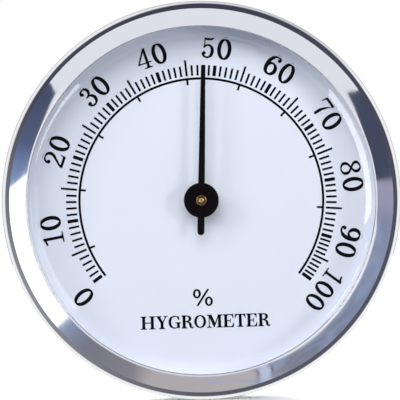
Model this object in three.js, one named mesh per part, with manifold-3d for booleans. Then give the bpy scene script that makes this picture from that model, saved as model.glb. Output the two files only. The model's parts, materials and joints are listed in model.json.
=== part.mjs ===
// Dial hygrometer, the insert kind that is pushed into a round hole in a panel.
//
// Millimetres. The dial's axis is Y: the dial faces -Y, +Y runs back into the panel, +Z points to
// 12 o'clock and +X to 3 o'clock. y = 0 is the back of the rim, where it rests on the panel.
// Profiles are lists of [radius, y]. Names ending in _FRONT or _BACK are y values.

import * as THREE from "three";
import { mergeVertices } from "three/addons/utils/BufferGeometryUtils.js";
import Module from "manifold-3d";

// Facets round a full turn: the big rings, and the small turned pieces.
const LARGE = 48;
const SMALL = 20;

// Rim: a pressed sheet ring, crimped over everything that it holds.
const RIM_RADIUS = 36;
const RIM_FRONT = -8;
const RIM_SHEET = 0.6;
const RIM_CORNER = 2.1;
const RIM_TILT = THREE.MathUtils.degToRad(15);
const BAND_INNER_RADIUS = 31.8;
const LIP_RADIUS = 31.3;
const LIP_EDGE_FRONT = -7.8;
const LIP_EDGE_BACK = -7.45;
const LIP_BEVEL_WIDTH = 0.2;
const LIP_BEVEL_DROP = 0.03;
const HEM_INNER_RADIUS = 30.7;

// What lies inside the rim, from the back to the front.
const STACK_RADIUS = 34.8;
const FLANGE_RADIUS = 35.2;
const FLANGE_THICKNESS = 0.9;
const DIAL_THICKNESS = 0.5;
const DIAL_HOLE_RADIUS = 1.6;
const SPACER_INNER_RADIUS = 31.7;
const SPACER_HEIGHT = 2.6;
const LENS_FLANGE_HEIGHT = 1.4;
const FLANGE_BACK = -RIM_SHEET;
const DIAL_BACK = FLANGE_BACK - FLANGE_THICKNESS;
const DIAL_FRONT = DIAL_BACK - DIAL_THICKNESS;
const SPACER_FRONT = DIAL_FRONT - SPACER_HEIGHT;
const LENS_FLANGE_FRONT = SPACER_FRONT - LENS_FLANGE_HEIGHT;

// Lens: a shallow dome, a chamfer that slopes down under the lip, and a flat flange.
const LENS_THICKNESS = 1.6;
const LENS_APEX = -8.6;
const DOME_RADIUS = 29.5;
const DOME_INNER_RADIUS = 29.3;
const DOME_RISE = 0.9;
const CHAMFER_RADIUS = 31.6;
const CHAMFER_INNER_RADIUS = 31.3;
const CHAMFER_TILT = THREE.MathUtils.degToRad(22);
const LENS_SHOULDER_RADIUS = 32.4;

// Gasket: it fills the wedge between the lens's flange and the sloping band.
const GASKET_INNER_RADIUS = 32.95;
const GASKET_OUTER_RADIUS = 34.2;
const GASKET_PLAY = 0.03;

// Case: a cup with its mouth to the front.
const CASE_RADIUS = 30;
const CASE_WALL = 1.6;
const CASE_BACK = 14;
const CASE_EDGE = 1.2;
const ADJUSTER_HOLE_RADIUS = 4;
const VENT_COUNT = 12;
const VENT_INNER = 12;
const VENT_OUTER = 24;
const VENT_WIDTH = 2.4;
const POST_X = 18;
const POST_RADIUS = 3;
const PILOT_RADIUS = 1;
const PILOT_BACK = 9;

// Grip ring: rubber, in a shallow groove of the case.
const GRIP_FRONT = 3;
const GRIP_GROOVE = 0.4;
const GRIP_RIBS = 3;
const GRIP_RIB_PITCH = 2;
const GRIP_CREST_RADIUS = 31;
const GRIP_VALLEY_RADIUS = 30.3;
const GRIP_BACK = GRIP_FRONT + GRIP_RIBS * GRIP_RIB_PITCH;

// Movement: a plate and a bent bridge, both clamped to the case's posts by two screws.
const PLATE_LENGTH = 44;
const PLATE_WIDTH = 12;
const PLATE_TRIM = 2;
const PLATE_FRONT = 0.6;
const PLATE_BACK = 1.6;
const BRIDGE_SHEET = 0.8;
const BRIDGE_WIDTH = 10;
const BRIDGE_HALF_SPAN = 13.8;
const FEET_HALF_SPAN = 22;
const STRAP_FRONT = 9;
const FEET_BACK = PLATE_BACK + BRIDGE_SHEET;
const STRAP_BACK = STRAP_FRONT + BRIDGE_SHEET;
const POST_FRONT = FEET_BACK;
const SCREW_HOLE_RADIUS = 1.1;
const SCREW_SHANK_RADIUS = 0.95;
const SCREW_HEAD_RADIUS = 1.9;
const SCREW_HEAD_HEIGHT = 1.2;
const SCREW_END = 7.8;
const SCREW_EDGE = 0.4;
const SCREW_SLOT = { width: 0.5, depth: 0.6 };

// Arbor and what turns with it.
const ARBOR_RADIUS = 0.6;
const ARBOR_TIP_RADIUS = 0.45;
const ARBOR_PIVOT_RADIUS = 0.35;
const ARBOR_TIP = -5.6;
const ARBOR_SHOULDER = -4.5;
const ARBOR_STEP = 7.5;
const ARBOR_END = 9.7;
const PRESS_GAP = 0.02;
const RUNNING_GAP = 0.05;
const BUSH_RADIUS = 2;
const BUSH_FLANGE_RADIUS = 2.9;
const BUSH_FLANGE_HEIGHT = 0.5;
const BUSH_BACK = 2.4;
const WASHER_RADIUS = 1.6;
const WASHER_FRONT = 2.5;
const WASHER_BACK = 2.8;
const COLLET_RADIUS = 1.8;
const COLLET_FRONT = 3.1;
const COLLET_BACK = 7.4;

// Pointer: at rest it stands a little past 12 o'clock, on the 48 mark.
const POINTER_FRONT = -5.05;
const POINTER_THICKNESS = 0.3;
const POINTER_REST = THREE.MathUtils.degToRad(2.5);
const POINTER_LENGTH = 24.4;
const POINTER_ROOT_WIDTH = 1.2;
const POINTER_TIP_WIDTH = 0.8;
const POINTER_TAIL_LENGTH = 6.3;
const POINTER_TAIL_WIDTH = 1.27;
const HUB_RADIUS = 3.15;
const FERRULE_BACK = -3.2;
const FERRULE_RADIUS = 1.25;
const FERRULE_NECK_RADIUS = 0.75;
const FERRULE_HEAD_RADIUS = 0.95;
const FERRULE_HEAD_HEIGHT = 0.2;
const POINTER_BACK = POINTER_FRONT + POINTER_THICKNESS;

// Adjuster: a slotted boss in the bridge's strap, with the lever and stud for the coil's outer end.
const BOSS_FRONT = 7.7;
const BOSS_BORE_END = 9.9;
const BOSS_BACK = 13.4;
const BOSS_HEAD_RADIUS = 3.2;
const BOSS_HEAD_CHAMFER = 0.3;
const BOSS_SLOT = { width: 1, depth: 1.2 };
const JOURNAL_RADIUS = 2;
const FRICTION_THICKNESS = 0.3;
const FRICTION_RADIUS = 3.5;
const BOSS_HEAD_FRONT = STRAP_BACK + FRICTION_THICKNESS;
const ARM_FRONT = 8.1;
const ARM_BACK = 8.9;
const ARM_HUB_RADIUS = 3.4;
const ARM_END_RADIUS = 1.4;
const STUD_RADIUS = 0.7;
const STUD_FRONT = 4;

// Coil: a flat strip wound in a spiral, from the collet out to the stud.
const COIL_TURNS = 4.5;
const COIL_STEPS_PER_TURN = 24;
const COIL_THICKNESS = 0.3;
const COIL_FRONT = 4.2;
const COIL_BACK = 7.2;
const COIL_INNER_RADIUS = COLLET_RADIUS + COIL_THICKNESS / 2 + PRESS_GAP;
const COIL_OUTER_RADIUS = 7.6;
const STUD_Z = COIL_OUTER_RADIUS + COIL_THICKNESS / 2 + PRESS_GAP + STUD_RADIUS;

// How far a cutting tool reaches past what it cuts.
const CUT_MARGIN = 1;

const wasm = await Module();
wasm.setup();

// ---- Materials

const finish = (color, roughness, metalness) =>
  new THREE.MeshStandardMaterial({ color, roughness, metalness });

const chrome = finish(0xdfe2e6, 0.08, 1);
const clear = finish(0xf4f8fb, 0.05, 0);
const darkRubber = finish(0x2b2c30, 0.8, 0);
const whitePlastic = finish(0xe4e7ec, 0.45, 0);
const whitePaint = finish(0xe6eaf6, 0.5, 0);
const blackPlastic = finish(0x17181b, 0.5, 0);
const brass = finish(0xb8893c, 0.3, 1);
const steel = finish(0xa8abb0, 0.35, 1);
const blackPaint = finish(0x0e0e10, 0.35, 0);
const coilStrip = finish(0x8c8f93, 0.4, 1);

// ---- Shaping

// A closed outline of [radius, y] pairs, revolved about the Y axis with its faces outwards. An
// outline that starts and ends on the axis is a solid, and any other closes on itself as a ring.
function turned(outline, facets = SMALL) {
  const first = outline[0];
  const last = outline[outline.length - 1];
  const solid = first[0] === 0 && last[0] === 0;
  const loop = solid ? outline : [...outline, first];
  const points = loop.map(([radius, y]) => new THREE.Vector2(radius, y));
  if (THREE.ShapeUtils.area(points) < 0) points.reverse();
  return new THREE.LatheGeometry(points, facets);
}

// Points on an arc in the (radius, y) plane, where tilt 0 faces the front and 90 degrees outwards.
function arcPoints(centre, radius, fromTilt, toTilt, steps) {
  return Array.from({ length: steps + 1 }, (_, i) => {
    const tilt = THREE.MathUtils.lerp(fromTilt, toTilt, i / steps);
    return [centre[0] + radius * Math.sin(tilt), centre[1] - radius * Math.cos(tilt)];
  });
}

// A flat outline seen from the front (x right, z up), as a plate between two y values.
function plate(shape, front, back) {
  const geometry = new THREE.ExtrudeGeometry(shape, { depth: back - front, bevelEnabled: false });
  const toFront = new THREE.Matrix4().makeBasis(
    new THREE.Vector3(1, 0, 0),
    new THREE.Vector3(0, 0, 1),
    new THREE.Vector3(0, -1, 0),
  );
  return geometry.applyMatrix4(toFront).translate(0, back, 0);
}

function circlePoints(radius, x = 0, z = 0, facets = SMALL) {
  return Array.from({ length: facets }, (_, i) => {
    const turn = (2 * Math.PI * i) / facets;
    return new THREE.Vector2(x + radius * Math.cos(turn), z + radius * Math.sin(turn));
  });
}

function rod(radius, front, back, x = 0, z = 0) {
  return plate(new THREE.Shape(circlePoints(radius, x, z)), front, back);
}

function block(xSize, ySize, zSize, y) {
  return new THREE.BoxGeometry(xSize, ySize, zSize).translate(0, y, 0);
}

function solidOf(geometry) {
  const bare = geometry.clone();
  bare.deleteAttribute("normal");
  bare.deleteAttribute("uv");
  const merged = mergeVertices(bare);
  const mesh = new wasm.Mesh({
    numProp: 3,
    vertProperties: merged.attributes.position.array,
    triVerts: new Uint32Array(merged.index.array),
  });
  return new wasm.Manifold(mesh);
}

function geometryOf(solid) {
  const mesh = solid.getMesh();
  const geometry = new THREE.BufferGeometry();
  geometry.setAttribute("position", new THREE.BufferAttribute(mesh.vertProperties, 3));
  geometry.setIndex(new THREE.BufferAttribute(mesh.triVerts, 1));
  geometry.computeVertexNormals();
  return geometry;
}

const joined = (pieces) => pieces.map(solidOf).reduce((whole, piece) => whole.add(piece));
const cut = (blank, tools) => geometryOf(blank.subtract(joined(tools)));

// ---- Rim, window and dial

// The line of the rim's sloping band, or of a surface that lies `inset` behind it.
function bandY(radius, inset = 0) {
  const fall = (radius - BAND_INNER_RADIUS) * Math.tan(RIM_TILT);
  return RIM_FRONT + fall + inset / Math.cos(RIM_TILT);
}

function bezelGeometry() {
  const cornerRadius = RIM_RADIUS - RIM_CORNER;
  const bandOuterRadius = cornerRadius + RIM_CORNER * Math.sin(RIM_TILT);
  const cornerY = bandY(bandOuterRadius) + RIM_CORNER * Math.cos(RIM_TILT);
  const corner = [cornerRadius, cornerY];
  const quarter = Math.PI / 2;
  const outerCorner = arcPoints(corner, RIM_CORNER, RIM_TILT, quarter, 4);
  const innerCorner = arcPoints(corner, RIM_CORNER - RIM_SHEET, RIM_TILT, quarter, 2);
  const hemBend = arcPoints([RIM_RADIUS - RIM_SHEET, -RIM_SHEET], RIM_SHEET, quarter, 2 * quarter, 2);
  const lipInset = LIP_RADIUS + LIP_BEVEL_WIDTH;
  return turned(
    [
      [LIP_RADIUS, LIP_EDGE_BACK],
      [LIP_RADIUS, LIP_EDGE_FRONT],
      [lipInset, RIM_FRONT + LIP_BEVEL_DROP],
      [BAND_INNER_RADIUS, RIM_FRONT],
      ...outerCorner,
      ...hemBend,
      [HEM_INNER_RADIUS, 0],
      [HEM_INNER_RADIUS, -RIM_SHEET],
      [RIM_RADIUS - RIM_SHEET, -RIM_SHEET],
      ...innerCorner.reverse(),
      [lipInset, bandY(lipInset, RIM_SHEET)],
    ],
    LARGE,
  );
}

function lensGeometry() {
  const sphere = (DOME_RADIUS ** 2 + DOME_RISE ** 2) / (2 * DOME_RISE);
  const edgeTilt = Math.asin(DOME_RADIUS / sphere);
  const centre = [0, LENS_APEX + sphere];
  const domeTop = arcPoints(centre, sphere, 0, edgeTilt, 4);
  const innerSphere = sphere - LENS_THICKNESS;
  const innerEdgeTilt = Math.asin(DOME_INNER_RADIUS / innerSphere);
  const domeBottom = arcPoints(centre, innerSphere, 0, innerEdgeTilt, 3);
  const [topEdgeRadius, topEdgeY] = domeTop[domeTop.length - 1];
  const [bottomEdgeRadius, bottomEdgeY] = domeBottom[domeBottom.length - 1];
  const topFall = (CHAMFER_RADIUS - topEdgeRadius) * Math.tan(CHAMFER_TILT);
  const bottomFall = (CHAMFER_INNER_RADIUS - bottomEdgeRadius) * Math.tan(CHAMFER_TILT);
  return turned(
    [
      ...domeTop,
      [CHAMFER_RADIUS, topEdgeY + topFall],
      [LENS_SHOULDER_RADIUS, LENS_FLANGE_FRONT],
      [STACK_RADIUS, LENS_FLANGE_FRONT],
      [STACK_RADIUS, SPACER_FRONT],
      [SPACER_INNER_RADIUS, SPACER_FRONT],
      [CHAMFER_INNER_RADIUS, bottomEdgeY + bottomFall],
      ...domeBottom.reverse(),
    ],
    LARGE,
  );
}

function gasketGeometry() {
  const inset = RIM_SHEET + GASKET_PLAY;
  return turned(
    [
      [GASKET_INNER_RADIUS, LENS_FLANGE_FRONT],
      [GASKET_INNER_RADIUS, bandY(GASKET_INNER_RADIUS, inset)],
      [GASKET_OUTER_RADIUS, bandY(GASKET_OUTER_RADIUS, inset)],
      [GASKET_OUTER_RADIUS, LENS_FLANGE_FRONT],
    ],
    LARGE,
  );
}

function flatRing(innerRadius, outerRadius, front, back, facets) {
  const corners = [
    [innerRadius, front],
    [outerRadius, front],
    [outerRadius, back],
    [innerRadius, back],
  ];
  return turned(corners, facets);
}

// ---- Case

function ventSlot(index) {
  const half = VENT_WIDTH / 2;
  const slot = new THREE.Shape();
  slot.moveTo(-half, VENT_INNER + half);
  slot.lineTo(-half, VENT_OUTER - half);
  slot.lineTo(0, VENT_OUTER);
  slot.lineTo(half, VENT_OUTER - half);
  slot.lineTo(half, VENT_INNER + half);
  slot.lineTo(0, VENT_INNER);
  slot.closePath();
  const turn = ((index + 0.5) * 2 * Math.PI) / VENT_COUNT;
  const front = CASE_BACK - CASE_WALL - CUT_MARGIN;
  return plate(slot, front, CASE_BACK + CUT_MARGIN).rotateY(turn);
}

function caseGeometry() {
  const innerRadius = CASE_RADIUS - CASE_WALL;
  const innerBack = CASE_BACK - CASE_WALL;
  const grooveRadius = CASE_RADIUS - GRIP_GROOVE;
  const cup = turned(
    [
      [ADJUSTER_HOLE_RADIUS, CASE_BACK],
      [CASE_RADIUS - CASE_EDGE, CASE_BACK],
      [CASE_RADIUS, CASE_BACK - CASE_EDGE],
      [CASE_RADIUS, GRIP_BACK],
      [grooveRadius, GRIP_BACK],
      [grooveRadius, GRIP_FRONT],
      [CASE_RADIUS, GRIP_FRONT],
      [CASE_RADIUS, FLANGE_BACK],
      [FLANGE_RADIUS, FLANGE_BACK],
      [FLANGE_RADIUS, DIAL_BACK],
      [innerRadius, DIAL_BACK],
      [innerRadius, innerBack],
      [ADJUSTER_HOLE_RADIUS, innerBack],
    ],
    LARGE,
  );
  const intoWall = innerBack + CASE_WALL / 2;
  const posts = [-POST_X, POST_X].map((x) => rod(POST_RADIUS, POST_FRONT, intoWall, x));
  const pilotFront = POST_FRONT - CUT_MARGIN;
  const pilots = [-POST_X, POST_X].map((x) => rod(PILOT_RADIUS, pilotFront, PILOT_BACK, x));
  const vents = Array.from({ length: VENT_COUNT }, (_, i) => ventSlot(i));
  return cut(joined([cup, ...posts]), [...pilots, ...vents]);
}

function gripGeometry() {
  const grooveRadius = CASE_RADIUS - GRIP_GROOVE;
  const ribs = Array.from({ length: GRIP_RIBS }, (_, i) => {
    const start = GRIP_FRONT + i * GRIP_RIB_PITCH;
    return [
      [GRIP_VALLEY_RADIUS, start],
      [GRIP_CREST_RADIUS, start + GRIP_RIB_PITCH / 2],
    ];
  });
  const outline = [
    ...ribs.flat(),
    [GRIP_VALLEY_RADIUS, GRIP_BACK],
    [grooveRadius, GRIP_BACK],
    [grooveRadius, GRIP_FRONT],
  ];
  return turned(outline, LARGE);
}

// ---- Movement

function movementPlateGeometry() {
  const length = PLATE_LENGTH / 2;
  const width = PLATE_WIDTH / 2;
  const outline = new THREE.Shape([
    new THREE.Vector2(-length, PLATE_TRIM - width),
    new THREE.Vector2(PLATE_TRIM - length, -width),
    new THREE.Vector2(length - PLATE_TRIM, -width),
    new THREE.Vector2(length, PLATE_TRIM - width),
    new THREE.Vector2(length, width - PLATE_TRIM),
    new THREE.Vector2(length - PLATE_TRIM, width),
    new THREE.Vector2(PLATE_TRIM - length, width),
    new THREE.Vector2(-length, width - PLATE_TRIM),
  ]);
  outline.holes.push(
    new THREE.Path(circlePoints(BUSH_RADIUS + PRESS_GAP)),
    new THREE.Path(circlePoints(SCREW_HOLE_RADIUS, -POST_X)),
    new THREE.Path(circlePoints(SCREW_HOLE_RADIUS, POST_X)),
  );
  return plate(outline, PLATE_FRONT, PLATE_BACK);
}

// A strap across the back, two legs, and two feet that lie flat behind the movement plate.
function bridgeGeometry() {
  const inner = BRIDGE_HALF_SPAN - BRIDGE_SHEET;
  const rightHalf = [
    [inner, STRAP_FRONT],
    [inner, PLATE_BACK],
    [FEET_HALF_SPAN, PLATE_BACK],
    [FEET_HALF_SPAN, FEET_BACK],
    [BRIDGE_HALF_SPAN, FEET_BACK],
    [BRIDGE_HALF_SPAN, STRAP_BACK],
  ];
  const leftHalf = rightHalf.map(([x, y]) => [-x, y]).reverse();
  const outline = [...rightHalf, ...leftHalf].map(([x, y]) => new THREE.Vector2(x, y));
  const blank = new THREE.ExtrudeGeometry(new THREE.Shape(outline), {
    depth: BRIDGE_WIDTH,
    bevelEnabled: false,
  }).translate(0, 0, -BRIDGE_WIDTH / 2);
  const bearingRadius = JOURNAL_RADIUS + RUNNING_GAP;
  const bearing = rod(bearingRadius, STRAP_FRONT - CUT_MARGIN, STRAP_BACK + CUT_MARGIN);
  const footHole = (x) => rod(SCREW_HOLE_RADIUS, PLATE_BACK - CUT_MARGIN, FEET_BACK + CUT_MARGIN, x);
  const holes = [-POST_X, POST_X].map(footHole);
  return cut(solidOf(blank), [bearing, ...holes]);
}

function screwGeometry() {
  const headFront = PLATE_FRONT - SCREW_HEAD_HEIGHT;
  const blank = turned([
    [0, headFront],
    [SCREW_HEAD_RADIUS - SCREW_EDGE, headFront],
    [SCREW_HEAD_RADIUS, headFront + SCREW_EDGE],
    [SCREW_HEAD_RADIUS, PLATE_FRONT],
    [SCREW_SHANK_RADIUS, PLATE_FRONT],
    [SCREW_SHANK_RADIUS, SCREW_END - SCREW_EDGE],
    [SCREW_SHANK_RADIUS - SCREW_EDGE, SCREW_END],
    [0, SCREW_END],
  ]);
  const slotLength = 2 * (SCREW_HEAD_RADIUS + CUT_MARGIN);
  const slot = block(slotLength, 2 * SCREW_SLOT.depth, SCREW_SLOT.width, headFront);
  return cut(solidOf(blank), [slot]);
}

function frontBushGeometry() {
  const bore = ARBOR_RADIUS + RUNNING_GAP;
  return turned([
    [bore, PLATE_FRONT - BUSH_FLANGE_HEIGHT],
    [BUSH_FLANGE_RADIUS, PLATE_FRONT - BUSH_FLANGE_HEIGHT],
    [BUSH_FLANGE_RADIUS, PLATE_FRONT],
    [BUSH_RADIUS, PLATE_FRONT],
    [BUSH_RADIUS, BUSH_BACK],
    [bore, BUSH_BACK],
  ]);
}

// ---- Arbor and pointer

function arborGeometry() {
  const dome = arcPoints([0, ARBOR_TIP + ARBOR_TIP_RADIUS], ARBOR_TIP_RADIUS, 0, Math.PI / 2, 3);
  return turned([
    ...dome,
    [ARBOR_TIP_RADIUS, ARBOR_SHOULDER],
    [ARBOR_RADIUS, ARBOR_SHOULDER],
    [ARBOR_RADIUS, ARBOR_STEP],
    [ARBOR_PIVOT_RADIUS, ARBOR_STEP],
    [ARBOR_PIVOT_RADIUS, ARBOR_END],
    [0, ARBOR_END],
  ]);
}

// A hub disc with a blunt, tapering needle and a round-ended tail, in one outline.
function pointerGeometry() {
  const rootAngle = Math.asin(POINTER_ROOT_WIDTH / 2 / HUB_RADIUS);
  const tailAngle = Math.asin(POINTER_TAIL_WIDTH / 2 / HUB_RADIUS);
  const tailHalf = POINTER_TAIL_WIDTH / 2;
  const outline = new THREE.Shape();
  outline.moveTo(POINTER_TIP_WIDTH / 2, POINTER_LENGTH);
  outline.lineTo(-POINTER_TIP_WIDTH / 2, POINTER_LENGTH);
  outline.absarc(0, 0, HUB_RADIUS, Math.PI / 2 + rootAngle, 1.5 * Math.PI - tailAngle, false);
  outline.absarc(0, tailHalf - POINTER_TAIL_LENGTH, tailHalf, Math.PI, 2 * Math.PI, false);
  outline.absarc(0, 0, HUB_RADIUS, tailAngle - Math.PI / 2, Math.PI / 2 - rootAngle, false);
  outline.closePath();
  outline.holes.push(new THREE.Path(circlePoints(FERRULE_NECK_RADIUS + PRESS_GAP)));
  return plate(outline, POINTER_FRONT, POINTER_BACK).rotateY(POINTER_REST);
}

function ferruleGeometry() {
  const headFront = POINTER_FRONT - FERRULE_HEAD_HEIGHT;
  return turned([
    [ARBOR_TIP_RADIUS + PRESS_GAP, headFront],
    [FERRULE_HEAD_RADIUS, headFront],
    [FERRULE_HEAD_RADIUS, POINTER_FRONT],
    [FERRULE_NECK_RADIUS, POINTER_FRONT],
    [FERRULE_NECK_RADIUS, POINTER_BACK],
    [FERRULE_RADIUS, POINTER_BACK],
    [FERRULE_RADIUS, FERRULE_BACK],
    [ARBOR_RADIUS + PRESS_GAP, FERRULE_BACK],
    [ARBOR_RADIUS + PRESS_GAP, ARBOR_SHOULDER],
    [ARBOR_TIP_RADIUS + PRESS_GAP, ARBOR_SHOULDER],
  ]);
}

// ---- Adjuster and coil

function bossGeometry() {
  const bore = ARBOR_PIVOT_RADIUS + RUNNING_GAP;
  const blank = turned([
    [0, BOSS_BORE_END],
    [bore, BOSS_BORE_END],
    [bore, BOSS_FRONT],
    [JOURNAL_RADIUS, BOSS_FRONT],
    [JOURNAL_RADIUS, BOSS_HEAD_FRONT],
    [BOSS_HEAD_RADIUS, BOSS_HEAD_FRONT],
    [BOSS_HEAD_RADIUS, BOSS_BACK - BOSS_HEAD_CHAMFER],
    [BOSS_HEAD_RADIUS - BOSS_HEAD_CHAMFER, BOSS_BACK],
    [0, BOSS_BACK],
  ]);
  const slotLength = 2 * (BOSS_HEAD_RADIUS + CUT_MARGIN);
  const slot = block(BOSS_SLOT.width, 2 * BOSS_SLOT.depth, slotLength, BOSS_BACK);
  return cut(solidOf(blank), [slot]);
}

function armGeometry() {
  const lean = Math.acos((ARM_HUB_RADIUS - ARM_END_RADIUS) / STUD_Z);
  const quarter = Math.PI / 2;
  const outline = new THREE.Shape();
  outline.absarc(0, 0, ARM_HUB_RADIUS, quarter + lean, quarter - lean + 2 * Math.PI, false);
  outline.absarc(0, STUD_Z, ARM_END_RADIUS, quarter - lean, quarter + lean, false);
  outline.closePath();
  outline.holes.push(
    new THREE.Path(circlePoints(JOURNAL_RADIUS + PRESS_GAP)),
    new THREE.Path(circlePoints(STUD_RADIUS + PRESS_GAP, 0, STUD_Z)),
  );
  return plate(outline, ARM_FRONT, ARM_BACK);
}

// The strip's centre line leaves the collet below the axis and ends under the stud, at 12 o'clock.
function coilGeometry() {
  const steps = COIL_TURNS * COIL_STEPS_PER_TURN;
  const side = (offset) =>
    Array.from({ length: steps + 1 }, (_, i) => {
      const along = i / steps;
      const radius = THREE.MathUtils.lerp(COIL_INNER_RADIUS, COIL_OUTER_RADIUS, along) + offset;
      const turn = Math.PI / 2 - (1 - along) * COIL_TURNS * 2 * Math.PI;
      return new THREE.Vector2(radius * Math.cos(turn), radius * Math.sin(turn));
    });
  const outline = [...side(COIL_THICKNESS / 2), ...side(-COIL_THICKNESS / 2).reverse()];
  return plate(new THREE.Shape(outline), COIL_FRONT, COIL_BACK);
}

// ---- Assembly

function piece(name, geometry, material) {
  const mesh = new THREE.Mesh(geometry, material);
  mesh.name = name;
  return mesh;
}

function placed(mesh, x) {
  mesh.position.x = x;
  return mesh;
}

const stationary = new THREE.Group();
stationary.add(
  piece("bezel", bezelGeometry(), chrome),
  piece("lens", lensGeometry(), clear),
  piece("lens_gasket", gasketGeometry(), darkRubber),
  piece(
    "spacer_ring",
    flatRing(SPACER_INNER_RADIUS, STACK_RADIUS, SPACER_FRONT, DIAL_FRONT, LARGE),
    whitePlastic,
  ),
  piece(
    "dial_plate",
    flatRing(DIAL_HOLE_RADIUS, STACK_RADIUS, DIAL_FRONT, DIAL_BACK, LARGE),
    whitePaint,
  ),
  piece("case", caseGeometry(), blackPlastic),
  piece("grip_ring", gripGeometry(), darkRubber),
  piece("movement_plate", movementPlateGeometry(), brass),
  piece("bridge", bridgeGeometry(), steel),
  piece("front_bush", frontBushGeometry(), brass),
  placed(piece("plate_screw_left", screwGeometry(), steel), -POST_X),
  placed(piece("plate_screw_right", screwGeometry(), steel), POST_X),
  piece(
    "friction_washer",
    flatRing(JOURNAL_RADIUS + RUNNING_GAP, FRICTION_RADIUS, STRAP_BACK, BOSS_HEAD_FRONT),
    steel,
  ),
);

const adjuster = new THREE.Group();
adjuster.add(
  piece("adjuster_boss", bossGeometry(), brass),
  piece("adjuster_arm", armGeometry(), steel),
  piece("coil_stud", rod(STUD_RADIUS, STUD_FRONT, ARM_BACK, 0, STUD_Z), brass),
  piece("hygro_coil", coilGeometry(), coilStrip),
);

const movingHand = new THREE.Group();
movingHand.add(
  piece("arbor", arborGeometry(), brass),
  piece(
    "end_washer",
    flatRing(ARBOR_RADIUS + PRESS_GAP, WASHER_RADIUS, WASHER_FRONT, WASHER_BACK),
    steel,
  ),
  piece(
    "coil_collet",
    flatRing(ARBOR_RADIUS + PRESS_GAP, COLLET_RADIUS, COLLET_FRONT, COLLET_BACK),
    brass,
  ),
  piece("pointer", pointerGeometry(), blackPaint),
  piece("pointer_collet", ferruleGeometry(), brass),
);

const hygrometer = new THREE.Group();
hygrometer.add(stationary, adjuster, movingHand);

export default hygrometer;
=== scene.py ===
# Dial hygrometer: the fine surfaces, the print on the dial, the materials and a white studio.
#
# The frame is the CAD's: the dial faces -Y, +Z is 12 o'clock, +X is 3 o'clock, and y = 0 is the back of
# the rim. Shapes are worked out in millimetres and scaled once, where their mesh is made. Outlines of
# turned pieces are (radius, y) or, for a rounded corner, (radius, y, rounding). Flat outlines are (x, z)
# as seen from the front, and directions on the dial are degrees clockwise from 12 o'clock.

import json
import math
from types import SimpleNamespace

import bmesh
import bpy
from mathutils import Matrix, Vector, geometry


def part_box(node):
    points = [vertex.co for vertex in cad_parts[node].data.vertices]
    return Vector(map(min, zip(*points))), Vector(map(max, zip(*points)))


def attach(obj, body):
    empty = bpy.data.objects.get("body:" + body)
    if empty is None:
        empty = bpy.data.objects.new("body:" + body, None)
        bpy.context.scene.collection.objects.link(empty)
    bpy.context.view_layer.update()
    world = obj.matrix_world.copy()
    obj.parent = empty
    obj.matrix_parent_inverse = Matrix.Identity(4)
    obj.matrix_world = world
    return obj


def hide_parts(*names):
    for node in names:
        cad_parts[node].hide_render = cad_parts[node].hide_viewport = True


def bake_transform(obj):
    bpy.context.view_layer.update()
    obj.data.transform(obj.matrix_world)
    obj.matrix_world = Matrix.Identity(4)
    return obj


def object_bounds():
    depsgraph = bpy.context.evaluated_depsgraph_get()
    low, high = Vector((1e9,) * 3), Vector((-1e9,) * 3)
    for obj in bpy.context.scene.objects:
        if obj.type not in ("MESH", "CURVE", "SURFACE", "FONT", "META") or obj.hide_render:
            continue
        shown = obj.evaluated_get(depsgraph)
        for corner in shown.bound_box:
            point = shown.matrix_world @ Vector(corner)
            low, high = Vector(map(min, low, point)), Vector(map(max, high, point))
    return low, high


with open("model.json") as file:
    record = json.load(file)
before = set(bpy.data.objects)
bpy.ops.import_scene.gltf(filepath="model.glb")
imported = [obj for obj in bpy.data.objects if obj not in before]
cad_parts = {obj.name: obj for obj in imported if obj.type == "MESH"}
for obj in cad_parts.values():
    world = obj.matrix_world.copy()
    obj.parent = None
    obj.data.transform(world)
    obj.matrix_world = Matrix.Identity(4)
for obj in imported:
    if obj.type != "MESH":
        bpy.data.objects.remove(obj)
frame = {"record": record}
CAD_BOX = [list(corner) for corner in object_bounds()]

MM = 0.001
RECORD = frame["record"]
BODY_OF = {node: body for body, nodes in RECORD["behaviour"]["bodies"].items() for node in nodes}
SLOT_OF = {part["node"]: part["material_slot"] for part in RECORD["subparts"]}


def reach(node):
    """How far a CAD node reaches, in millimetres: front and back are along the dial's axis."""
    low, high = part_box(node)
    return SimpleNamespace(
        front=low.y / MM, back=high.y / MM,
        left=low.x / MM, right=high.x / MM,
        bottom=low.z / MM, top=high.z / MM,
    )


# ---- Points and outlines


def clock(direction, radius):
    """The (x, z) point at a direction on the dial."""
    angle = math.radians(direction)
    return radius * math.sin(angle), radius * math.cos(angle)


def arc(centre, radius, start, end, steps):
    """Points of an arc in the (radius, y) plane; tilt 0 faces the front and 90 degrees faces outwards."""
    tilts = [math.radians(start + (end - start) * i / steps) for i in range(steps + 1)]
    return [(centre[0] + radius * math.sin(t), centre[1] - radius * math.cos(t)) for t in tilts]


def flat_arc(centre, radius, start, end, steps):
    """Points of an arc about centre, from one direction on the dial to another."""
    spots = [clock(start + (end - start) * i / steps, radius) for i in range(steps + 1)]
    return [(centre[0] + x, centre[1] + z) for x, z in spots]


def ellipse(centre, half, facets=12):
    """An oval about centre, with its half width and half height."""
    turns = [2 * math.pi * i / facets for i in range(facets)]
    return [(centre[0] + half[0] * math.cos(t), centre[1] + half[1] * math.sin(t)) for t in turns]


def circle(radius, centre=(0, 0), facets=64):
    return ellipse(centre, (radius, radius), facets)


def bar(left, right, bottom, top):
    """One oblong loop, in a list."""
    return [[(left, bottom), (right, bottom), (right, top), (left, top)]]


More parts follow.
